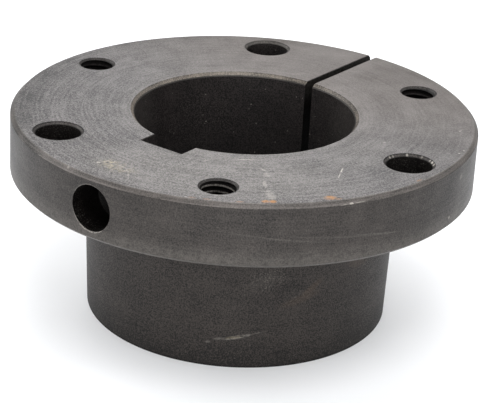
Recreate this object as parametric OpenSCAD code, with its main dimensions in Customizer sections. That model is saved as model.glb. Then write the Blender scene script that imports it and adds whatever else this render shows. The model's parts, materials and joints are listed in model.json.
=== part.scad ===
// Quick disconnect bushing: a split, tapered shaft bushing with a drilled flange.
// The bore's axis is Z. The foot of the barrel stands on z = 0, with the flange on top.
// The keyway and the set screw hole are on the -Y side, and the slit is on the +Y side.

/* [Flange] */
// Outside diameter of the flange
flange_d = 117.475; // [105:0.005:140]
// Thickness of the flange
flange_t = 15.875; // [14:0.005:20]
// Chamfer round the flange's face
rim_face_chamfer = 1.05; // [0.2:0.05:1.4]
// Chamfer round the flange's back
rim_back_chamfer = 0.8; // [0.2:0.05:1.4]

/* [Barrel] */
// Length of the tapered barrel behind the flange
barrel_l = 36.5125; // [25:0.0025:50]
// Diameter of the taper at its gauge line, where the hub's face comes to lie
taper_d = 79.375; // [72:0.005:86]
// Distance from the flange to the gauge line
gauge_gap = 6.35; // [0:0.05:10]
// Diameter lost for each millimetre along the barrel
taper_rate = 0.0625; // [0.04:0.0005:0.08]
// Radius of the corner between barrel and flange
root_r = 0.8; // [0.2:0.05:1.2]
// Chamfer round the foot of the barrel
foot_chamfer = 0.2; // [0.1:0.05:1.5]

/* [Bore] */
// Diameter of the bore
bore_d = 55.5625; // [40:0.0005:58]
// Chamfer at both ends of the bore
bore_chamfer = 1; // [0.2:0.05:2]

/* [Keyway] */
// Width of the keyway
key_w = 12.7; // [9:0.05:15]
// Depth of the keyway, measured along its side wall
key_depth = 6.35; // [2:0.05:7]

/* [Slit] */
// Width of the slit that lets the bushing close on its shaft
slit_w = 2.3; // [1:0.05:4]

/* [Face holes] */
// Number of plain holes, with as many tapped holes between them
hole_pairs = 3; // [2:1:4]
// Diameter of the plain holes
plain_d = 11.1125; // [8:0.0005:12]
// Chamfer at both ends of the plain holes
plain_chamfer = 0.7; // [0.1:0.05:0.8]
// Drilled diameter of the tapped holes, inside their thread
tap_d = 7.9375; // [5:0.0005:10]
// Chamfer at both ends of the tapped holes
tap_chamfer = 0.85; // [0.2:0.05:1.2]

/* [Set screw hole] */
// Diameter of the plain hole drilled in from the rim
entry_d = 11.5; // [9:0.05:12.5]
// Depth of the plain hole's wall below the rim
entry_depth = 9.4; // [4:0.05:15]
// Point angle of the drill, in degrees
drill_point = 118; // [90:1:140]
// Drilled diameter of the tapped hole that goes on to the keyway
set_tap_d = 7.9375; // [4:0.0005:8.5]

/* [Hidden] */
facets = 180;
root_steps = 6;

// How far a cutter reaches past the surface that it opens
past = 0.5;

flange_r = flange_d / 2;
bore_r = bore_d / 2;
total_l = barrel_l + flange_t;

// Slope of the taper's side, and its radius at a height
side_slope = taper_rate / 2;
function taper_r(z) = taper_d / 2 - side_slope * (barrel_l - gauge_gap - z);

// Centre and first angle of the arc that blends the taper into the flange's back
root_x = taper_r(barrel_l) + root_r * (sqrt(1 + side_slope * side_slope) - side_slope);
root_z = barrel_l - root_r;
root_start = 180 - atan(side_slope);
root_end = 90;

// Distance from the bore's axis to the keyway's floor
key_floor = sqrt(bore_r * bore_r - key_w * key_w / 4) + key_depth;

// The circle of the face holes lies midway between the gauge line and the rim
bolt_circle_d = (taper_d + flange_d) / 2;

// Angles round the axis, in degrees. The keyway lies midway between a plain and a tapped hole.
key_angle = 270;
hole_pitch = 180 / hole_pairs;
first_plain = key_angle - hole_pitch / 2;
first_tapped = key_angle + hole_pitch / 2;

// The drill point's edge and its end at the tapped hole, as distances from the bore's axis
point_edge = flange_r - entry_depth;
point_end = point_edge - (entry_d - set_tap_d) / 2 / tan(drill_point / 2);

// Points of the arc in the corner between barrel and flange
function root_arc() = [
    for (i = [0 : root_steps])
        let (a = root_start + (root_end - root_start) * i / root_steps)
            [root_x + root_r * cos(a), root_z + root_r * sin(a)]
];

// Half section of the turned body, from the bore's foot end round to its face end
function turned_section() = concat(
    [
        [bore_r, bore_chamfer],
        [bore_r + bore_chamfer, 0],
        [taper_r(0) - foot_chamfer, 0],
        [taper_r(foot_chamfer), foot_chamfer]
    ],
    root_arc(),
    [
        [flange_r - rim_back_chamfer, barrel_l],
        [flange_r, barrel_l + rim_back_chamfer],
        [flange_r, total_l - rim_face_chamfer],
        [flange_r - rim_face_chamfer, total_l],
        [bore_r + bore_chamfer, total_l],
        [bore_r, total_l - bore_chamfer]
    ]
);

module turned_body() {
    rotate_extrude($fn = facets)
        polygon(turned_section());
}

// Keyway down the whole bore
module keyway_cut() {
    translate([-key_w / 2, -key_floor, -past])
        cube([key_w, key_floor, total_l + 2 * past]);
}

// Slit through one side of barrel and flange
module slit_cut() {
    translate([-slit_w / 2, 0, -past])
        cube([slit_w, flange_r + past, total_l + 2 * past]);
}

// One hole through the flange, chamfered at the face and at the back
module flange_hole(d, chamfer) {
    mouth_r = d / 2 + chamfer + past;
    rotate_extrude($fn = facets)
        polygon([
            [0, barrel_l - past],
            [mouth_r, barrel_l - past],
            [d / 2, barrel_l + chamfer],
            [d / 2, total_l - chamfer],
            [mouth_r, total_l + past],
            [0, total_l + past]
        ]);
}

// A ring of holes, evenly spaced on the bolt circle
module hole_ring(first_angle, d, chamfer) {
    for (i = [0 : hole_pairs - 1])
        rotate(first_angle + 2 * hole_pitch * i)
            translate([bolt_circle_d / 2, 0, 0])
                flange_hole(d, chamfer);
}

// Stepped hole from the rim into the keyway's floor, halfway through the flange
module set_screw_cut() {
    translate([0, 0, barrel_l + flange_t / 2])
        rotate([90, 0, 0])
            rotate_extrude($fn = facets)
                polygon([
                    [0, 0],
                    [set_tap_d / 2, 0],
                    [set_tap_d / 2, point_end],
                    [entry_d / 2, point_edge],
                    [entry_d / 2, flange_r + past],
                    [0, flange_r + past]
                ]);
}

module bushing() {
    color([0.36, 0.34, 0.33])
        difference() {
            turned_body();
            keyway_cut();
            slit_cut();
            hole_ring(first_plain, plain_d, plain_chamfer);
            hole_ring(first_tapped, tap_d, tap_chamfer);
            set_screw_cut();
        }
}

bushing();
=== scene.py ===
"""Looks of a quick disconnect bushing: one turned, drilled and split piece of dark phosphated iron."""
import json
import math

import bmesh
import bpy
from mathutils import Matrix, Vector


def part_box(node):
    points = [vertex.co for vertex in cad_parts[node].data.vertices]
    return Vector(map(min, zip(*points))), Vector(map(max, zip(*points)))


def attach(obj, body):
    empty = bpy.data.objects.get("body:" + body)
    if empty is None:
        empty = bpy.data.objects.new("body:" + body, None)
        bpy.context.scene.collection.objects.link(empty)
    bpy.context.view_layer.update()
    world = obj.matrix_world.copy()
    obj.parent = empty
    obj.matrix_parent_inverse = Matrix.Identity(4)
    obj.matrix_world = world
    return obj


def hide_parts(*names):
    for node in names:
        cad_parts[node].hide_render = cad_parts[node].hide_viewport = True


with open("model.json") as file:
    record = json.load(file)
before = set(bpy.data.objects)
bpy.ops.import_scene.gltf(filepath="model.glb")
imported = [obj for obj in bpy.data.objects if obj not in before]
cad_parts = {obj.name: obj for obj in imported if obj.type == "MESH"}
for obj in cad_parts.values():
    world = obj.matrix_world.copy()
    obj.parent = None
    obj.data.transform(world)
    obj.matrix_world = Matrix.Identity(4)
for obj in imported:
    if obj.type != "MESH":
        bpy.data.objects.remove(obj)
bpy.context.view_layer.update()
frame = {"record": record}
low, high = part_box("bushing")
mounts = {mount["name"]: mount for mount in frame["record"]["mounts"]}

MM = 0.001

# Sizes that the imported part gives, in millimetres
FLANGE_R = -low.y / MM
TOTAL_L = high.z / MM
BORE_R = mounts["shaft_bore"]["dims"]["r_mm"]
HOLE_CIRCLE_R = mounts["cap_screw_holes"]["dims"]["pcd_mm"] / 2
PLAIN_R = mounts["cap_screw_holes"]["dims"]["hole_r_mm"]
TAP_R = mounts["jack_screw_holes"]["dims"]["hole_r_mm"]
SET_TAP_R = mounts["set_screw_hole"]["dims"]["r_mm"]
SET_HOLE_Z = mounts["set_screw_hole"]["pos_m"][2] / MM

# Sizes of the solid that the record doesn't give, in millimetres, and angles of its holes in degrees
FLANGE_T = 15.875
RIM_FACE_CHAMFER = 1.05
RIM_BACK_CHAMFER = 0.8
GAUGE_R = 79.375 / 2
GAUGE_GAP = 6.35
TAPER_SLOPE = 0.0625 / 2
ROOT_R = 0.8
FOOT_CHAMFER = 0.2
BORE_CHAMFER = 1.0
KEY_W = 12.7
KEY_DEPTH = 6.35
SLIT_W = 2.3
PLAIN_CHAMFER = 0.7
TAP_CHAMFER = 0.85
ENTRY_R = 11.5 / 2
ENTRY_DEPTH = 9.4
DRILL_POINT = math.radians(118)
PLAIN_ANGLES = (0, 120, 240)
TAPPED_ANGLES = (60, 180, 300)
FRONT_TAPPED_ANGLE = 300
FAR_PLAIN_ANGLE = 120

# Sizes that only the looks have, in millimetres
EDGE_R = 0.18
EDGE_BREAK = 0.14
THREAD_PITCH = 25.4 / 16
THREAD_R = 9.525 / 2
THREAD_FLANK = math.radians(30)
THREAD_ROOT_FLAT = 0.25
THREAD_LEAD = 0.5

# How far a cutter reaches past the surface that it opens, in millimetres
PAST = 1.0

# Where each tapped hole's thread starts, in turns
THREAD_STARTS = {60: 0.42, 180: 0.94, 300: 0.42}

# Fineness of the mesh
TURNED_SEGMENTS = 256
HOLE_SEGMENTS = 72
THREAD_SEGMENTS = 48
RINGS_PER_PITCH = 16
EDGE_STEPS = 3
WELD = 0.002
SHARP_ANGLE = math.radians(32)

# The most of a side that a rounded corner takes up, as a share of its length
EDGE_SHARE = 0.4

# Sizes that follow from these
BARREL_L = TOTAL_L - FLANGE_T
TAPER_R = GAUGE_R + GAUGE_GAP * TAPER_SLOPE
MOUTH_R = BORE_R + BORE_CHAMFER
LIP_R = PLAIN_R + PLAIN_CHAMFER
KEY_SIDE = math.sqrt(BORE_R**2 - (KEY_W / 2) ** 2)
KEY_FLOOR = KEY_SIDE + KEY_DEPTH

# The iron's patterns: repeats per millimetre, layers of detail and strength
BLOTCH_SCALE = 0.14
BLOTCH_DETAIL = 4.0
BLOTCH = 0.8
GRAIN_SCALE = 3.2
GRAIN_DETAIL = 2.0
GRAIN = 2.2
LINE_SCALE = 1.6
LINE_STRETCH = 0.08
LINE_DETAIL = 2.0
LINES = 0.7
BREAK_SCALE = 1.1
BREAK_DETAIL = 3.0
DUST_SCALE = 0.6

# Values of a pattern between which marks fade in, and where they start from
BROKEN_RANGE = (0.38, 0.58)
RAGGED_RANGE = (0.3, 0.6)
RAGGED_LEAST = 0.4
SPECK_RANGE = (0.56, 0.7)
DUST_RANGE = (0.16, 0.06)
DUST_CHANCE = 0.4

# The share of a spot that has its full strength, and its half size at right angles to its sheet
SPOT_CORE = 0.35
SPOT_DEPTH = 1000

# The iron's finish, with the depth of its relief in millimetres
MIDDLE_TONE = 0.5
TONE_SPREAD = 0.85
ROUGH_SPREAD = 0.06
BUMP_DEPTH = 0.04
PALE_COLOUR = (0.44, 0.41, 0.37)
RUST_COLOUR = (0.32, 0.13, 0.015)
SCUFF_COLOUR = (0.46, 0.39, 0.24)
STAIN_COLOUR = (0.085, 0.055, 0.035)

# Radius that the barrel's sheet is unrolled at, in millimetres
BARREL_SHEET_R = 38.6

# Parts of a polygon's normal that tell which zone it is in
RIM_OUTWARD = 0.3
RIM_LIP_OUTWARD = 0.95
FACE_UPWARD = 0.9
CHAMFER_UPWARD = (0.5, 0.8)
SIDE_OUTWARD = 0.5
BACK_UPWARD = -0.6
CREST_UPWARD = 0.3
DRILL_POINT_Y = -0.5

# The floor: half its side in millimetres, its looks with a glow that lightens the shadows round the
# part, and its patterns per metre
FLOOR_R = 4000
FLOOR_COLOUR = (0.73, 0.74, 0.757)
FLOOR_TINT = 0.015
FLOOR_GLOW = 0.18
FLOOR_ROUGHNESS = (0.6, 0.7)
FLOOR_CLOUD_SCALE = 30.0
FLOOR_CLOUD_DETAIL = 2.0
FLOOR_FIBRE_SCALE = 900.0
FLOOR_FIBRE_DETAIL = 1.0
FLOOR_BUMP = 0.3
FLOOR_BUMP_DEPTH = 0.02

# The light, with its sizes in metres
WHITE = (1, 1, 1, 1)
SURROUND = 0.3
SOFTBOX_D = 0.7
SOFTBOX_DISTANCE = 1.2

# Each softbox has its azimuth from the side that the camera looks towards, its elevation and its watts
SOFTBOXES = (
    (0, 90, 1.1),
    (120, 15, 2.1),
    (180, 15, 6.7),
    (240, 15, 4.5),
    (0, 40, 6.1),
    (60, 40, 2.8),
    (120, 40, 1.8),
    (300, 40, 7.1),
    (120, 65, 2.4),
    (180, 65, 5.2),
)

# The camera, in degrees, millimetres and pixels, and the nearest distance that it sees, in metres
IMAGE_W = 500
SENSOR_W = 36
CAMERA_TURN = 36.055
CAMERA_DISTANCE = 515.4
CAMERA_ELEVATION = 26.463
CAMERA_ROLL = 3.134
AIM_ACROSS = 2.488
AIM_Z = 27.557
FOCAL_PIXELS = 1961.3
CLIP_START = 0.01


def new_object(name, bm):
    """A mesh object in metres from a bmesh in millimetres."""
    bmesh.ops.recalc_face_normals(bm, faces=bm.faces)
    bm.transform(Matrix.Scale(MM, 4))
    mesh = bpy.data.meshes.new(name)
    bm.to_mesh(mesh)
    bm.free()
    obj = bpy.data.objects.new(name, mesh)
    bpy.context.scene.collection.objects.link(obj)
    return obj


def soften(corners, radii):
    """A closed outline with every corner rounded off, by its own radius or else the common one."""
    outline = []
    for k, corner in enumerate(corners):
        radius = radii.get(corner, EDGE_R)
        corner = Vector(corner)
        before = Vector(corners[k - 1]) - corner
        after = Vector(corners[(k + 1) % len(corners)]) - corner
        half = before.angle(after) / 2
        reach = min(radius / math.tan(half), EDGE_SHARE * before.length, EDGE_SHARE * after.length)
        start = corner + before.normalized() * reach
        end = corner + after.normalized() * reach
        for step in range(EDGE_STEPS + 1):
            t = step / EDGE_STEPS
            outline.append(start * (1 - t) ** 2 + corner * (2 * t * (1 - t)) + end * t**2)
    return outline


def turn(name, outline, segments, closed):
    """A turned form: an outline of radii and heights spun round Z. A place on the axis is one corner."""
    bm = bmesh.new()
    rings = []
    for r, z in outline:
        count = segments if r > 0 else 1
        angles = [2 * math.pi * k / segments for k in range(count)]
        rings.append([bm.verts.new((r * math.cos(a), r * math.sin(a), z)) for a in angles])
    following = rings[1:] + rings[:1] if closed else rings[1:]
    for ring, other in zip(rings, following):
        for k in range(segments):
            n = k + 1
            near = (ring[k % len(ring)], ring[n % len(ring)])
            far = (other[n % len(other)], other[k % len(other)])
            bm.faces.new(dict.fromkeys(near + far))
    return new_object(name, bm)


def loft(name, outlines):
    """A closed body through outlines that all have the same number of corners."""
    bm = bmesh.new()
    rings = [[bm.verts.new(corner) for corner in outline] for outline in outlines]
    count = len(rings[0])
    for ring, other in zip(rings, rings[1:]):
        for k in range(count):
            n = (k + 1) % count
            bm.faces.new((ring[k], ring[n], other[n], other[k]))
    bm.faces.new(rings[0])
    bm.faces.new(rings[-1])
    return new_object(name, bm)


def upright(name, section, low_z, high_z):
    """A prism that stands on a level section."""
    return loft(name, [[(x, y, z) for x, y in section] for z in (low_z, high_z)])


def rectangle(x0, x1, y0, y1, z):
    """Corners of a level rectangle."""
    return [(x0, y0, z), (x1, y0, z), (x1, y1, z), (x0, y1, z)]


def thread_rod(name, core_r, low_z, high_z, start):
    """A rod with the form of the thread, which cuts it into a drilled hole."""
    count = math.ceil((high_z - low_z) / THREAD_PITCH * RINGS_PER_PITCH)
    rings = []
    for i in range(count + 1):
        z = low_z + (high_z - low_z) * i / count
        ring = []
        for k in range(THREAD_SEGMENTS):
            a = 2 * math.pi * k / THREAD_SEGMENTS
            phase = (z / THREAD_PITCH - a / (2 * math.pi) + start) % 1
            off_root = max(abs(phase - 0.5) * THREAD_PITCH - THREAD_ROOT_FLAT / 2, 0)
            r = max(THREAD_R - off_root / math.tan(THREAD_FLANK), core_r - EDGE_BREAK)
            ring.append((r * math.cos(a), r * math.sin(a), z))
        rings.append(ring)
    return loft(name, rings)


def place_on_circle(cutter, angle):
    """Moves a cutter from the axis to its place on the hole circle."""
    spin = Matrix.Rotation(math.radians(angle), 4, "Z")
    cutter.data.transform(spin @ Matrix.Translation((HOLE_CIRCLE_R * MM, 0, 0)))


def place_in_rim(cutter):
    """Lays a cutter that stands on the axis down along -Y, at the set screw hole's height."""
    lie_down = Matrix.Rotation(math.pi / 2, 4, "X")
    cutter.data.transform(Matrix.Translation((0, 0, SET_HOLE_Z * MM)) @ lie_down)


def turned_body():
    """Flange, tapered barrel and bore, before anything is cut into them."""
    root = (TAPER_R, BARREL_L)
    corners = [
        (BORE_R, BORE_CHAMFER),
        (MOUTH_R, 0),
        (TAPER_R - TAPER_SLOPE * BARREL_L - FOOT_CHAMFER, 0),
        (TAPER_R - TAPER_SLOPE * (BARREL_L - FOOT_CHAMFER), FOOT_CHAMFER),
        root,
        (FLANGE_R - RIM_BACK_CHAMFER, BARREL_L),
        (FLANGE_R, BARREL_L + RIM_BACK_CHAMFER),
        (FLANGE_R, TOTAL_L - RIM_FACE_CHAMFER),
        (FLANGE_R - RIM_FACE_CHAMFER, TOTAL_L),
        (MOUTH_R, TOTAL_L),
        (BORE_R, TOTAL_L - BORE_CHAMFER),
    ]
    return turn("bushing_body", soften(corners, {root: ROOT_R}), TURNED_SEGMENTS, True)


def keyway():
    """Cutters for the keyway and for the broken edges along the bore and at both ends."""
    half = KEY_W / 2
    wide = EDGE_BREAK + PAST
    section = [
        (-half, -KEY_FLOOR),
        (half, -KEY_FLOOR),
        (half, -KEY_SIDE - EDGE_BREAK),
        (half + wide, -KEY_SIDE + wide),
        (-half - wide, -KEY_SIDE + wide),
        (-half, -KEY_SIDE - EDGE_BREAK),
    ]
    slot = upright("keyway", section, -PAST, TOTAL_L + PAST)
    narrow = (-half, half, -KEY_FLOOR, 0)
    flared = (-half - wide, half + wide, -KEY_FLOOR - wide, 0)
    top_outlines = [rectangle(*narrow, TOTAL_L - EDGE_BREAK), rectangle(*flared, TOTAL_L + PAST)]
    foot_outlines = [rectangle(*flared, -PAST), rectangle(*narrow, EDGE_BREAK)]
    return [slot, loft("keyway_top", top_outlines), loft("keyway_foot", foot_outlines)]


def slit():
    """Cutters for the slit and for the broken edges along the two end faces and the rim."""
    half = SLIT_W / 2
    wide = half + EDGE_BREAK + PAST
    far = FLANGE_R + PAST
    profile = [
        (-wide, -PAST),
        (wide, -PAST),
        (half, EDGE_BREAK),
        (half, TOTAL_L - EDGE_BREAK),
        (wide, TOTAL_L + PAST),
        (-wide, TOTAL_L + PAST),
        (-half, TOTAL_L - EDGE_BREAK),
        (-half, EDGE_BREAK),
    ]
    saw = loft("slit", [[(x, y, z) for x, z in profile] for y in (0, far)])
    mouth = [(-half, FLANGE_R - EDGE_BREAK), (half, FLANGE_R - EDGE_BREAK), (wide, far), (-wide, far)]
    return [saw, upright("slit_rim", mouth, BARREL_L - PAST, TOTAL_L + PAST)]


def set_screw_hole():
    """Cutter for the stepped hole from the rim to the keyway's floor."""
    point_edge = FLANGE_R - ENTRY_DEPTH
    point_end = point_edge - (ENTRY_R - SET_TAP_R) / math.tan(DRILL_POINT / 2)
    lip = 2 * EDGE_BREAK
    outline = [
        (0, 0),
        (SET_TAP_R, 0),
        (SET_TAP_R, point_end),
        (ENTRY_R, point_edge),
        (ENTRY_R, FLANGE_R - lip),
        (ENTRY_R + lip + PAST, FLANGE_R + PAST),
        (0, FLANGE_R + PAST),
    ]
    cutter = turn("set_screw_hole", outline, HOLE_SEGMENTS, False)
    place_in_rim(cutter)
    return cutter


def set_screw_thread():
    """Cutter for the thread between the entry hole and the keyway."""
    cutter = thread_rod("set_screw_thread", SET_TAP_R, KEY_SIDE, FLANGE_R - ENTRY_DEPTH, 0)
    place_in_rim(cutter)
    return cutter


def flange_hole(name, r, chamfer, angle):
    """Cutter for a hole through the flange, chamfered at both ends."""
    mouth = r + chamfer + PAST
    outline = [
        (0, BARREL_L - PAST),
        (mouth, BARREL_L - PAST),
        (r, BARREL_L + chamfer),
        (r, TOTAL_L - chamfer),
        (mouth, TOTAL_L + PAST),
        (0, TOTAL_L + PAST),
    ]
    cutter = turn(name, outline, HOLE_SEGMENTS, False)
    place_on_circle(cutter, angle)
    return cutter


def jack_thread(angle):
    """Cutter for the thread of one jack screw hole."""
    top = TOTAL_L - THREAD_LEAD
    cutter = thread_rod("jack_thread", TAP_R, BARREL_L - PAST, top, THREAD_STARTS[angle])
    place_on_circle(cutter, angle)
    return cutter


def cut(body, cutters):
    """Takes all the cutters out of the body and deletes them."""
    for cutter in cutters:
        modifier = body.modifiers.new(cutter.name, "BOOLEAN")
        modifier.operation = "DIFFERENCE"
        modifier.solver = "MANIFOLD"
        modifier.object = cutter
    depsgraph = bpy.context.evaluated_depsgraph_get()
    mesh = bpy.data.meshes.new_from_object(body.evaluated_get(depsgraph))
    body.modifiers.clear()
    body.data = mesh
    for cutter in cutters:
        bpy.data.objects.remove(cutter)


def weld(mesh):
    """Joins corners that the cuts left almost at one place."""
    bm = bmesh.new()
    bm.from_mesh(mesh)
    bmesh.ops.remove_doubles(bm, verts=bm.verts, dist=WELD * MM)
    bmesh.ops.dissolve_degenerate(bm, edges=bm.edges, dist=WELD * MM)
    bm.to_mesh(mesh)
    bm.free()


def make_bushing():
    """The whole piece, as one closed mesh."""
    body = turned_body()
    cutters = keyway() + slit() + [set_screw_hole(), set_screw_thread()]
    cutters += [flange_hole("plain_hole", PLAIN_R, PLAIN_CHAMFER, a) for a in PLAIN_ANGLES]
    cutters += [flange_hole("tapped_hole", TAP_R, TAP_CHAMFER, a) for a in TAPPED_ANGLES]
    cutters += [jack_thread(a) for a in TAPPED_ANGLES]
    cut(body, cutters)
    weld(body.data)
    body.data.shade_smooth()
    body.data.set_sharp_from_angle(angle=SHARP_ANGLE)
    normals = body.modifiers.new("normals", "WEIGHTED_NORMAL")
    normals.keep_sharp = True
    return body


def hole_centre(angle):
    """Place of the face hole at an angle."""
    a = math.radians(angle)
    return HOLE_CIRCLE_R * math.cos(a), HOLE_CIRCLE_R * math.sin(a)


def stroke(x0, y0, x1, y1, half_width, strength):
    """A long mark between two places on a sheet."""
    tilt = math.degrees(math.atan2(y1 - y0, x1 - x0))
    half_length = math.hypot(x1 - x0, y1 - y0) / 2 + half_width
    return (x0 + x1) / 2, (y0 + y1) / 2, half_length, half_width, tilt, strength


def trail(places, half_width, strength):
    """A bent mark through several places on a sheet."""
    return tuple(stroke(*a, *b, half_width, strength) for a, b in zip(places, places[1:]))


def around(centre_x, r, angles, half_length, half_width, strength):
    """Marks that follow a circle round a place on the X axis, one at each angle."""
    marks = []
    for angle in angles:
        a = math.radians(angle)
        place = (centre_x + r * math.cos(a), r * math.sin(a))
        marks.append((*place, half_length, half_width, angle + 90, strength))
    return tuple(marks)
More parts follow.
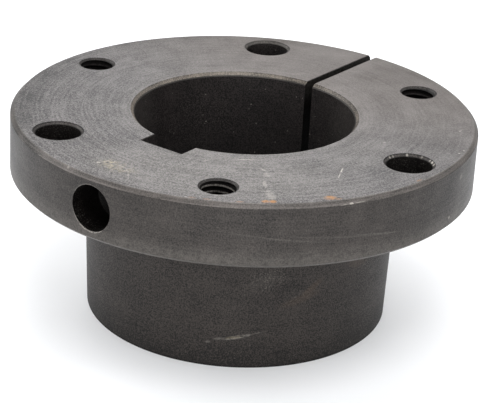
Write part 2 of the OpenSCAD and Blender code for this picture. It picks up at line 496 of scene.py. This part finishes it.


# Wear, dirt, painted light and painted shade on each zone; the comments at the marks say which are
# painted. A mark has its place on the zone's sheet, its half length and half width, its tilt in degrees
# and its strength. The sheet is the plan, or the length round the axis and the height where the zone has
# a sheet radius. Bands, rings and shade have the heights or radii where they start and end, and a
# strength. Fade has the strength of the fine patterns at the keyway's side of the rim and at the slit's
# side.
MARKS = {
    "face": {
        "scratches_and_highlights": (
            # The first three are broad patches of painted light on the front and right of the face.
            (18.0, -36.0, 40.0, 24.0, 30, 0.12),
            (36.0, -6.0, 18.0, 12.0, 80, 0.06),
            (37.0, 27.0, 12.0, 9.0, 120, 0.03),
            stroke(39.2, -13.4, 40.7, -16.7, 0.3, 0.85),
            stroke(40.6, -16.5, 42.2, -19.8, 0.24, 0.65),
            stroke(25.0, -27.3, 27.8, -28.1, 0.4, 0.45),
            (28.8, -29.6, 2.4, 1.5, -45, 0.3),
            stroke(30.0, -32.4, 33.4, -36.2, 0.7, 0.4),
            (35.4, -37.8, 2.6, 1.6, -45, 0.32),
            (37.0, -39.2, 2.2, 1.8, -45, 0.36),
            stroke(12.1, -33.2, 14.3, -30.9, 0.4, 0.32),
            stroke(16.9, -27.8, 22.3, -23.1, 0.35, 0.5),
            stroke(20.8, -33.3, 22.3, -32.1, 0.4, 0.3),
            (23.9, -34.2, 1.4, 1.0, 40, 0.22),
            (9.7, -50.2, 5.0, 1.6, 20, 0.14),
            stroke(47.1, 26.5, 46.8, 28.9, 0.22, 0.2),
            (47.1, 26.5, 0.45, 0.35, 0, 0.5),
            (54.6, 16.1, 0.42, 0.36, 0, 0.7),
            (54.7, 13.7, 0.42, 0.36, 0, 0.7),
            (37.5, 6.9, 0.5, 0.4, 0, 0.5),
            (22.9, -52.5, 0.45, 0.3, 30, 0.6),
            (-6.5, 31.0, 3.0, 1.4, 60, 0.1),
            stroke(-4.8, -51.3, -4.2, -50.7, 0.3, 0.95),
            (-5.3, -51.6, 0.5, 0.4, 0, 0.3),
            (2.3, -50.6, 0.5, 0.36, 0, 0.3),
            (3.3, -50.6, 0.5, 0.36, 0, 0.35),
            (-2.1, -47.8, 0.5, 0.4, 0, 0.35),
        )
        + trail(
            ((0, -48.9), (1.5, -48.8), (3, -49.6), (4.7, -51), (6.2, -52.7), (7.2, -53.8)),
            0.34,
            0.4,
        ),
        "rings": (
            (MOUTH_R + 0.5, MOUTH_R + 0.1, 0.11),
            (MOUTH_R + 6.0, MOUTH_R, 0.06),
            # A painted highlight along the face's outer edge at the bevel.
            (FLANGE_R - RIM_FACE_CHAMFER - 0.5, FLANGE_R - RIM_FACE_CHAMFER - 0.1, 0.05),
        ),
        "scuffs": (
            (0.0, -50.0, 7.5, 4.0, 0, 0.14),
            (-2.0, -49.5, 3.4, 2.4, -40, 0.26),
            (-2.4, -48.8, 0.7, 0.6, 0, 0.5),
            (-4.0, -49.6, 0.6, 0.5, 0, 0.4),
            stroke(-0.3, -51.9, -0.1, -50.5, 0.5, 0.45),
            stroke(-1.3, -50.1, -0.1, -50.5, 0.45, 0.4),
        ),
        "rust": around(0, 56.5, (-48.2, -46.5), 1.2, 1.1, 0.85)
        + around(0, 56.0, (-32.6,), 1.9, 1.5, 0.8)
        + around(0, 57.1, (-65.0, -61.6, -54.0, -31.0, -7.3), 1.3, 0.5, 0.35),
        "dark": (
            (20.0, 31.0, 6.0, 3.0, -30, 0.15),
            (-3.0, -47.0, 1.0, 0.5, 30, 0.2),
            (-1.2, -48.6, 0.7, 0.4, 0, 0.2),
            (44.5, 29.8, 3.2, 1.3, 60, 0.12),
            (12.0, 47.5, 13.0, 9.0, -14, 0.1),
        )
        # Darker arcs along the far and left edges of the face: painted shade.
        + around(0, 58.0, (75, 95, 115, 140, 165, 190, 215), 20.0, 6.5, 0.16)
        + around(0, 58.0, (195, 212, 226), 14.0, 9.5, 0.24),
        "stain": ((0.0, 60.0, 100.0, 75.0, 0, 0.26),),
        "fade": (1.45, 0.3),
    },
    "edge": {
        "shade": ((TOTAL_L - 0.45, TOTAL_L - 0.6, 0.7),),
    },
    "lip": {
        "scratches_and_highlights": ((*hole_centre(FAR_PLAIN_ANGLE), 9.5, 9.5, 0, 0.13),)
        + around(HOLE_CIRCLE_R, PLAIN_R + PLAIN_CHAMFER / 2, (42, 55), 0.55, 0.35, 0.8)
        + around(HOLE_CIRCLE_R, PLAIN_R + PLAIN_CHAMFER / 2, (66, 92, 128, 165, 176), 0.4, 0.35, 0.5),
        "shade": ((TOTAL_L - 0.5, TOTAL_L - 0.62, 0.7), (TOTAL_L - 0.3, TOTAL_L - 0.14, 0.5)),
    },
    "bevel": {
        "scratches_and_highlights": (
            (-29.07, 51.5, 0.7, 0.3, 0, 0.95),
            stroke(-32.6, 51.29, -29.5, 51.45, 0.18, 0.45),
            stroke(-28.6, 51.5, -25.0, 51.6, 0.15, 0.3),
            stroke(-127.0, 51.4, -115.8, 51.3, 0.17, 0.25),
            stroke(-115.2, 51.1, -113.8, 50.6, 0.24, 0.25),
            (-111.4, 51.3, 0.5, 0.3, 0, 0.4),
            stroke(-110.4, 51.37, -107.1, 51.26, 0.18, 0.28),
            stroke(-107.0, 51.3, -88.0, 51.3, 0.15, 0.12),
            (-100.5, 52.2, 0.6, 0.5, 0, 0.25),
        ),
        # Painted shade on the bevel's left side.
        "dark": ((-130.0, 51.9, 26.0, 4.0, 0, 0.2),),
        # A painted highlight along the bevel's top edge.
        "bands": ((TOTAL_L - 0.24, TOTAL_L - 0.08, 0.13),),
        "shade": ((TOTAL_L - 0.5, TOTAL_L - 0.3, 0.1),),
    },
    "rim": {
        "scratches_and_highlights": (
            (-45.6, 43.85, 17.5, 0.35, -6.7, 0.05),
            (-29.7, 43.3, 19.0, 0.3, -5.3, 0.05),
            (-21.0, 42.65, 10.0, 0.3, -7.3, 0.08),
            (5.1, 39.4, 0.6, 0.5, 0, 0.5),
            (10.2, 48.4, 1.1, 0.9, 30, 0.15),
            # Painted light from the floor along the rim's lower edge at the front.
            (-50.0, 36.6, 26.0, 3.0, 0, 0.06),
        ),
        # The second dark mark is painted shade on the rim's right side.
        "dark": ((5.3, 41.2, 0.7, 0.5, 90, 0.4), (-6.0, 44.0, 18.0, 10.0, 0, 0.12)),
        "bands": (
            # Painted light from the floor on the rim's lower part, and a painted highlight along the edge
            # of the back chamfer.
            (BARREL_L + 6, BARREL_L + 1, 0.08),
            (BARREL_L + RIM_BACK_CHAMFER + 0.2, BARREL_L + RIM_BACK_CHAMFER - 0.2, 0.11),
        ),
        "shade": ((TOTAL_L - 5, TOTAL_L - 1.3, 0.06),),
    },
    "barrel": {
        "scratches_and_highlights": (
            stroke(-42.9, 6.6, -42.0, 6.8, 0.45, 0.12),
            stroke(-41.2, 7.6, -38.0, 8.2, 0.45, 0.14),
            stroke(-39.5, 7.5, -32.6, 8.9, 0.34, 0.2),
            stroke(-37.5, 8.5, -33.0, 9.4, 0.3, 0.12),
            stroke(-34.2, 8.9, -32.0, 9.4, 0.45, 0.18),
            stroke(-32.0, 9.5, -28.6, 10.2, 0.3, 0.08),
            (-29.6, 24.0, 5.5, 2.7, 20, 0.02),
        ),
        "scuffs": (stroke(-38.5, 8.0, -33.5, 9.0, 0.5, 0.12),),
        "specks": (
            (-28.4, 24.6, 6.5, 4.5, 15, 0.1),
            (-20.0, 19.2, 8.0, 2.4, 30, 0.05),
            (1.5, 22.5, 6.0, 4.0, 0, 0.07),
            (-25.0, 32.5, 12.0, 1.4, 0, 0.06),
        ),
        "stain": (
            stroke(-25.5, 16.7, -15.3, 19.8, 1.5, 0.15),
            (-18.0, 20.4, 5.4, 1.3, 40, 0.2),
            (-3.7, 24.5, 5.0, 2.2, -10, 0.15),
        ),
        "shade": ((10.0, 1.0, 0.3), (1.6, 0.3, 0.7)),
    },
    "mouth": {
        # A patch of painted highlight on the far side of the bore's chamfer.
        "scratches_and_highlights": ((-16.6, 22.9, 15.0, 11.0, 36, 0.06),),
        # Painted shade on the right of the bore's chamfer.
        "dark": ((15.8, 23.5, 14.0, 12.0, -34, 0.25), (28.0, 8.0, 14.0, 6.0, -70, 0.3)),
        "shade": ((TOTAL_L - 0.68, TOTAL_L - 0.82, 1.0), (TOTAL_L - 0.2, TOTAL_L - 0.1, 0.2)),
    },
    "bore": {
        "scratches_and_highlights": ((-72.0, 42.0, 16.0, 26.0, 0, 0.042), (22.0, 42.0, 18.0, 30.0, 0, 0.04)),
        "specks": ((74.0, 41.0, 14.0, 10.0, 0, 0.05), (-82.0, 41.0, 9.0, 10.0, 0, 0.05)),
    },
    "hole": {
        "specks": ((*hole_centre(0), 8.0, 8.0, 0, 0.1), (*hole_centre(240), 8.0, 8.0, 0, 0.1)),
    },
    "slit": {
        # The slit's walls grow paler towards the face: painted light near its opening.
        "bands": ((TOTAL_L - 8, TOTAL_L - 1, 0.035),),
    },
    "deep": {
        "specks": ((-1.0, -57.5, 8.0, 4.0, 0, 0.1),),
    },
}

# Colour and finish of each zone, and the strengths of its patterns where they aren't the usual ones.
# The face is lighter and the rim and barrel darker partly as the iron is and partly as painted light and
# shade.
LOOKS = {
    "face": {"base": (0.0672, 0.0612, 0.0608), "lines": 1.25, "grain": 1.1},
    "edge": {"base": (0.028, 0.0246, 0.023), "roughness": 0.5, "level": 0.2},
    "lip": {"base": (0.038, 0.0334, 0.0312), "roughness": 0.5, "level": 0.2},
    "bevel": {
        "base": (0.075, 0.0665, 0.0615),
        "sheet_r": FLANGE_R,
        "blotch": 0.7,
        "lines": 1.5,
        "grain": 0.5,
        "dust": 0.04,
    },
    "rim": {
        "base": (0.031, 0.027, 0.0245),
        "sheet_r": FLANGE_R,
        "blotch": 0.9,
        "lines": 0.65,
        "grain": 0.82,
        "dust": 0.04,
    },
    "barrel": {
        "base": (0.0195, 0.016, 0.014),
        "roughness": 0.55,
        "sheet_r": BARREL_SHEET_R,
        "blotch": 0.7,
        "lines": 0.7,
        "grain": 1.6,
        "dust": 0.08,
    },
    "mouth": {"base": (0.12, 0.103, 0.086), "blotch": 1.2, "grain": 0.8},
    "bore": {
        "base": (0.0138, 0.0116, 0.0113),
        "sheet_r": BORE_R,
        "blotch": 1.3,
        "lines": 0.2,
        "grain": 2.3,
        "dust": 0.45,
    },
    # Light iron on thread crests and round the set screw hole: a painted highlight.
    "crest": {"base": (0.13, 0.12, 0.11), "roughness": 0.4, "level": 0.3},
    # Near-black iron in the holes, the slit, deep hollows and on the foot's chamfer: painted shade.
    "hole": {"base": (0.006, 0.0053, 0.0049), "roughness": 0.5, "level": 0.06, "dust": 0.15},
    "slit": {"base": (0.0018, 0.0016, 0.0015), "roughness": 0.6, "level": 0.03, "dust": 0.05},
    "deep": {"base": (0.0035, 0.003, 0.0028), "roughness": 0.6, "level": 0.03, "dust": 0.05},
}


def tinted(colour, factor=1.0):
    """A colour made darker or lighter, with its alpha."""
    return tuple(factor * part for part in colour) + (1,)


class Shader:
    """A material with short ways to add the nodes that it's made of."""

    def __init__(self, name):
        self.material = bpy.data.materials.new(name)
        self.material.use_nodes = True
        self.tree = self.material.node_tree
        self.surface = self.tree.nodes["Principled BSDF"]

    def connect(self, made, inputs):
        """Sets or links the inputs of a node."""
        for key, value in inputs.items():
            if isinstance(value, bpy.types.NodeSocket):
                self.tree.links.new(value, made.inputs[key])
            else:
                made.inputs[key].default_value = value

    def add(self, kind, inputs, output=0, **settings):
        """A new node; gives back one of its outputs."""
        made = self.tree.nodes.new(kind)
        for key, value in settings.items():
            setattr(made, key, value)
        self.connect(made, inputs)
        return made.outputs[output]

    def math(self, operation, a, b=0.0, c=0.0):
        """A sum, product or other operation."""
        return self.add("ShaderNodeMath", {0: a, 1: b, 2: c}, operation=operation)

    def remap(self, value, from_low, from_high, to_low, to_high, curve="SMOOTHSTEP"):
        """A value carried from one range to another."""
        inputs = {0: value, 1: from_low, 2: from_high, 3: to_low, 4: to_high}
        return self.add("ShaderNodeMapRange", inputs, interpolation_type=curve)

    def noise(self, place, scale, detail):
        """A cloudy pattern."""
        return self.add("ShaderNodeTexNoise", {"Vector": place, "Scale": scale, "Detail": detail})

    def vector(self, x, y, z):
        """A place from its three parts."""
        return self.add("ShaderNodeCombineXYZ", {0: x, 1: y, 2: z})

    def mix(self, factor, a, b):
        """A colour between two others."""
        return self.add("ShaderNodeMix", {0: factor, 6: a, 7: b}, 2, data_type="RGBA")

    def bump(self, height, strength, depth):
        """A normal that follows a pattern of heights, with its depth in millimetres."""
        inputs = {"Height": height, "Strength": strength, "Distance": depth * MM}
        return self.add("ShaderNodeBump", inputs)


class Iron(Shader):
    """The iron of one zone: where a place lies on it, its patterns and its marks."""

    def __init__(self, zone, sheet_r):
        super().__init__("iron_" + zone)
        self.marks = MARKS.get(zone, {})
        metres = self.add("ShaderNodeTexCoord", {}, "Object")
        self.place = self.add("ShaderNodeVectorMath", {0: metres, "Scale": 1 / MM}, operation="SCALE")
        x, self.y, self.z = self.add("ShaderNodeSeparateXYZ", {0: self.place}).node.outputs
        x_squared = self.math("MULTIPLY", x, x)
        self.radius = self.math("SQRT", self.math("MULTIPLY_ADD", self.y, self.y, x_squared))
        self.sheet = self.place
        if sheet_r:
            length = self.math("MULTIPLY", self.math("ARCTAN2", self.y, x), sheet_r)
            self.sheet = self.vector(length, self.z, 0.0)
        along = self.math("SUBTRACT", self.radius, self.z)
        turned = self.vector(
            self.math("MULTIPLY", x, LINE_STRETCH),
            self.math("MULTIPLY", self.y, LINE_STRETCH),
            self.math("MULTIPLY", along, LINE_SCALE),
        )
        self.blotches = self.noise(self.place, BLOTCH_SCALE, BLOTCH_DETAIL)
        self.grain = self.noise(self.place, GRAIN_SCALE, GRAIN_DETAIL)
        self.lines = self.noise(turned, 1.0, LINE_DETAIL)
        breaks = self.noise(self.place, BREAK_SCALE, BREAK_DETAIL)
        self.broken = self.remap(breaks, *BROKEN_RANGE, 0.0, 1.0)
        self.ragged = self.remap(breaks, *RAGGED_RANGE, RAGGED_LEAST, 1.0)

    def spots(self, kind):
        """Mask of soft ellipses, from the marks of one kind."""
        mask = 0.0
        for across, up, half_length, half_width, tilt, strength in self.marks.get(kind, ()):
            inputs = {
                "Vector": self.sheet,
                "Location": (across, up, 0),
                "Rotation": (0, 0, math.radians(tilt)),
                "Scale": (half_length, half_width, SPOT_DEPTH),
            }
            local = self.add("ShaderNodeMapping", inputs, vector_type="TEXTURE")
            off = self.add("ShaderNodeVectorMath", {0: local}, "Value", operation="LENGTH")
            mask = self.math("MAXIMUM", mask, self.remap(off, 1.0, SPOT_CORE, 0.0, strength))
        return mask

    def bands(self, kind, measure):
        """Mask that fades in between two heights or radii, from the marks of one kind."""
        mask = 0.0
        for start, end, strength in self.marks.get(kind, ()):
            mask = self.math("MAXIMUM", mask, self.remap(measure, start, end, 0.0, strength))
        return mask

    def dust(self, strength):
        """Mask of sparse specks, some of them stronger than others."""
        inputs = {"Vector": self.place, "Scale": DUST_SCALE}
        distance = self.add("ShaderNodeTexVoronoi", inputs, "Distance")
        chance = self.add("ShaderNodeSeparateColor", {0: distance.node.outputs["Color"]})
        some = self.remap(chance, DUST_CHANCE, 1.0, 0.0, strength, "LINEAR")
        return self.math("MULTIPLY", self.remap(distance, *DUST_RANGE, 0.0, 1.0), some)

    def swing(self, pattern, amount, middle=0.0):
        """A pattern stretched to an amount round a middle value."""
        return self.math("MULTIPLY_ADD", pattern, amount, middle - amount / 2)

    def tone(self, blotch, lines, grain):
        """How light the bare iron is, from its patterns, its dark marks and its painted shade."""
        grains = self.swing(self.grain, GRAIN * grain)
        fine = self.math("ADD", grains, self.swing(self.lines, LINES * lines))
        if "fade" in self.marks:
            fade = self.remap(self.y, -FLANGE_R, FLANGE_R, *self.marks["fade"], "LINEAR")
            fine = self.math("MULTIPLY", fine, fade)
        tone = self.math("ADD", self.swing(self.blotches, BLOTCH * blotch, MIDDLE_TONE), fine)
        tone = self.math("SUBTRACT", tone, self.spots("dark"))
        return self.math("SUBTRACT", tone, self.bands("shade", self.z))

    def pale(self, dust):
        """Mask of dust, scratch marks, specks and pale rings, and of painted highlights and patches of
        painted light.
        """
        # The bands are painted highlights along edges and painted light from the floor.
        pale = self.math("MAXIMUM", self.dust(dust), self.bands("bands", self.z))
        pale = self.math("MAXIMUM", pale, self.bands("rings", self.radius))
        pale = self.math("MAXIMUM", pale, self.spots("scratches_and_highlights"))
        pale = self.math("MULTIPLY", pale, self.ragged)
        if "specks" in self.marks:
            specks = self.remap(self.grain, *SPECK_RANGE, 0.0, 1.0)
            pale = self.math("MAXIMUM", pale, self.math("MULTIPLY", self.spots("specks"), specks))
        return pale

    def colour(self, base, tone, dust):
        """The iron's colour, with its marks over it."""
        colour = self.mix(tone, tinted(base, 1 - TONE_SPREAD), tinted(base, 1 + TONE_SPREAD))
        if "stain" in self.marks:
            colour = self.mix(self.spots("stain"), colour, tinted(STAIN_COLOUR))
        colour = self.mix(self.pale(dust), colour, tinted(PALE_COLOUR))
        if "scuffs" in self.marks:
            scuffs = self.math("MULTIPLY", self.spots("scuffs"), self.broken)
            colour = self.mix(scuffs, colour, tinted(SCUFF_COLOUR))
        if "rust" in self.marks:
            rust = self.math("MULTIPLY", self.spots("rust"), self.ragged)
            colour = self.mix(rust, colour, tinted(RUST_COLOUR))
        return colour


def iron(
    zone,
    base,
    roughness=0.46,
    level=0.25,
    sheet_r=None,
    blotch=1.0,
    lines=1.0,
    grain=1.0,
    dust=0.1,
):
    """Dark phosphated iron with turning marks, blotches, grain, and the wear, dirt, painted light and
    painted shade of its zone.
    """
    shader = Iron(zone, sheet_r)
    tone = shader.tone(blotch, lines, grain)
    height = shader.math("ADD", shader.grain, shader.math("MULTIPLY", shader.lines, lines))
    rough = roughness + ROUGH_SPREAD
    smooth = roughness - ROUGH_SPREAD
    surface = {
        "Base Color": shader.colour(base, tone, dust),
        "Roughness": shader.remap(tone, 0.0, 1.0, rough, smooth, "LINEAR"),
        "Specular IOR Level": level,
        "Normal": shader.bump(height, 1.0, BUMP_DEPTH),
    }
    shader.connect(shader.surface, surface)
    return shader.material


def off_hole(spot, angle):
    """Distance of a place from the axis of the face hole at an angle."""
    x, y = hole_centre(angle)
    return math.hypot(spot.x - x, spot.y - y)


def off_nearest(spot, angles):
    """Distance of a place from the nearest of several face holes."""
    return min(off_hole(spot, angle) for angle in angles)


def rim_zone(spot, outward):
    """Zone of a polygon on the rim: its bevel, the lip of the set screw hole or the rim itself."""
    if spot.z > TOTAL_L - RIM_FACE_CHAMFER + EDGE_BREAK:
        return "bevel"
    off_axis = math.hypot(spot.x, spot.z - SET_HOLE_Z)
    in_lip = outward < RIM_LIP_OUTWARD and spot.y < 0 and off_axis < ENTRY_R + PAST
    # The set screw hole's lip takes the light crest iron, a painted highlight round the hole.
    return "crest" if in_lip else "rim"


def zone_of(polygon):
    """Name of the zone that a polygon of the bushing belongs to."""
    spot = polygon.center / MM
    r = math.hypot(spot.x, spot.y)
    outward = (polygon.normal.x * spot.x + polygon.normal.y * spot.y) / r
    upward = polygon.normal.z
    in_plain = off_nearest(spot, PLAIN_ANGLES) < LIP_R
    if outward > RIM_OUTWARD and r > FLANGE_R - 2 * RIM_FACE_CHAMFER:
        return rim_zone(spot, outward)
    if upward > FACE_UPWARD and spot.z > TOTAL_L - EDGE_R:
        return "face"
    if CHAMFER_UPWARD[0] < upward < CHAMFER_UPWARD[1] and spot.z > TOTAL_L - BORE_CHAMFER:
        if r < MOUTH_R:
            return "mouth"
        return "lip" if in_plain else "edge"
    # The foot's chamfer takes the near-black iron of the holes: a painted shadow where the foot meets the
    # floor.
    if outward > SIDE_OUTWARD and spot.z < FOOT_CHAMFER + EDGE_R:
        return "hole"
    if spot.z < BARREL_L + PLAIN_CHAMFER and (upward < BACK_UPWARD or outward > SIDE_OUTWARD):
        return "barrel"
    if r < MOUTH_R or (spot.y < 0 and r < KEY_FLOOR + BORE_CHAMFER):
        return "bore"
    if spot.y > 0 and abs(spot.x) < SLIT_W / 2 + EDGE_BREAK:
        return "slit"
    # Crests of the front tapped hole take the light crest iron as a painted highlight, the others the
    # bore's iron as a dimmer one.
    if abs(upward) < CREST_UPWARD and off_nearest(spot, TAPPED_ANGLES) < TAP_R + EDGE_BREAK:
        return "crest" if off_hole(spot, FRONT_TAPPED_ANGLE) < THREAD_R else "bore"
    # The far plain hole takes the bore's lighter iron, painted light on its lit wall; the others take
    # near-black iron, painted shade.
    if in_plain:
        return "bore" if off_hole(spot, FAR_PLAIN_ANGLE) < LIP_R else "hole"
    # The drill point's cone takes the holes' iron, lighter than the deep iron round it, as a painted
    # sheen.
    on_drill_point = polygon.normal.y < DRILL_POINT_Y and spot.y < ENTRY_DEPTH + PAST - FLANGE_R
    return "hole" if on_drill_point else "deep"


def paint(body):
    """Gives every polygon the material of its zone."""
    zones = list(LOOKS)
    body.data.materials.clear()
    for zone in zones:
        body.data.materials.append(iron(zone, **LOOKS[zone]))
    for polygon in body.data.polygons:
        polygon.material_index = zones.index(zone_of(polygon))


def add_camera():
    """The photograph's camera, as recovered from the outlines."""
    data = bpy.data.cameras.new("camera")
    data.sensor_width = SENSOR_W
    data.lens = SENSOR_W * FOCAL_PIXELS / IMAGE_W
    data.clip_start = CLIP_START
    camera = bpy.data.objects.new("camera", data)
    bpy.context.scene.collection.objects.link(camera)
    spin = Matrix.Rotation(math.radians(CAMERA_TURN), 3, "Z")
    elevation = math.radians(CAMERA_ELEVATION)
    place = spin @ Vector((0, -math.cos(elevation), math.sin(elevation))) * CAMERA_DISTANCE * MM
    aim = spin @ Vector((AIM_ACROSS, 0, AIM_Z)) * MM
    back = (place - aim).normalized()
    right = Vector((0, 0, 1)).cross(back).normalized()
    up = back.cross(right)
    axes = Matrix((right, up, back)).transposed().to_4x4()
    axes = axes @ Matrix.Rotation(math.radians(CAMERA_ROLL), 4, "Z")
    camera.matrix_world = Matrix.Translation(place) @ axes
    bpy.context.scene.camera = camera


def add_floor():
    """A plain white floor under the part, which glows faintly and so lightens the shadows round the part.
    """
    bm = bmesh.new()
    corners = rectangle(-FLOOR_R, FLOOR_R, -FLOOR_R, FLOOR_R, 0)
    bm.faces.new([bm.verts.new(corner) for corner in corners])
    floor = new_object("floor", bm)
    shader = Shader("floor_white")
    place = shader.add("ShaderNodeTexCoord", {}, "Object")
    cloud = shader.noise(place, FLOOR_CLOUD_SCALE, FLOOR_CLOUD_DETAIL)
    fibre = shader.noise(place, FLOOR_FIBRE_SCALE, FLOOR_FIBRE_DETAIL)
    darker = tinted(FLOOR_COLOUR, 1 - FLOOR_TINT)
    lighter = tinted(FLOOR_COLOUR, 1 + FLOOR_TINT)
    surface = {
        "Base Color": shader.mix(cloud, darker, lighter),
        "Roughness": shader.remap(cloud, 0.0, 1.0, *FLOOR_ROUGHNESS, "LINEAR"),
        "Normal": shader.bump(fibre, FLOOR_BUMP, FLOOR_BUMP_DEPTH),
        "Emission Color": WHITE,
        "Emission Strength": FLOOR_GLOW,
    }
    shader.connect(shader.surface, surface)
    floor.data.materials.append(shader.material)


def add_softboxes():
    """Round softboxes on all sides, which light the part but aren't seen themselves."""
    spin = Matrix.Rotation(math.radians(CAMERA_TURN), 3, "Z")
    for azimuth, elevation, watts in SOFTBOXES:
        data = bpy.data.lights.new("softbox", "AREA")
        data.shape = "DISK"
        data.size = SOFTBOX_D
        data.energy = watts
        light = bpy.data.objects.new("softbox", data)
        bpy.context.scene.collection.objects.link(light)
        light.visible_camera = False
        level = Matrix.Rotation(math.radians(elevation), 3, "X") @ Vector((0, 1, 0))
        toward = spin @ Matrix.Rotation(-math.radians(azimuth), 3, "Z") @ level
        light.location = toward * SOFTBOX_DISTANCE
        light.rotation_euler = toward.to_track_quat("Z", "Y").to_euler()


def add_surround():
    """A dim white surround, and colours shown as they are."""
    world = bpy.data.worlds.new("studio")
    world.use_nodes = True
    background = world.node_tree.nodes["Background"]
    background.inputs["Color"].default_value = WHITE
    background.inputs["Strength"].default_value = SURROUND
    bpy.context.scene.world = world
    bpy.context.scene.view_settings.view_transform = "Standard"


bushing = make_bushing()
paint(bushing)
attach(bushing, "root")
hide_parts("bushing")

add_camera()
add_floor()
add_softboxes()
add_surround()
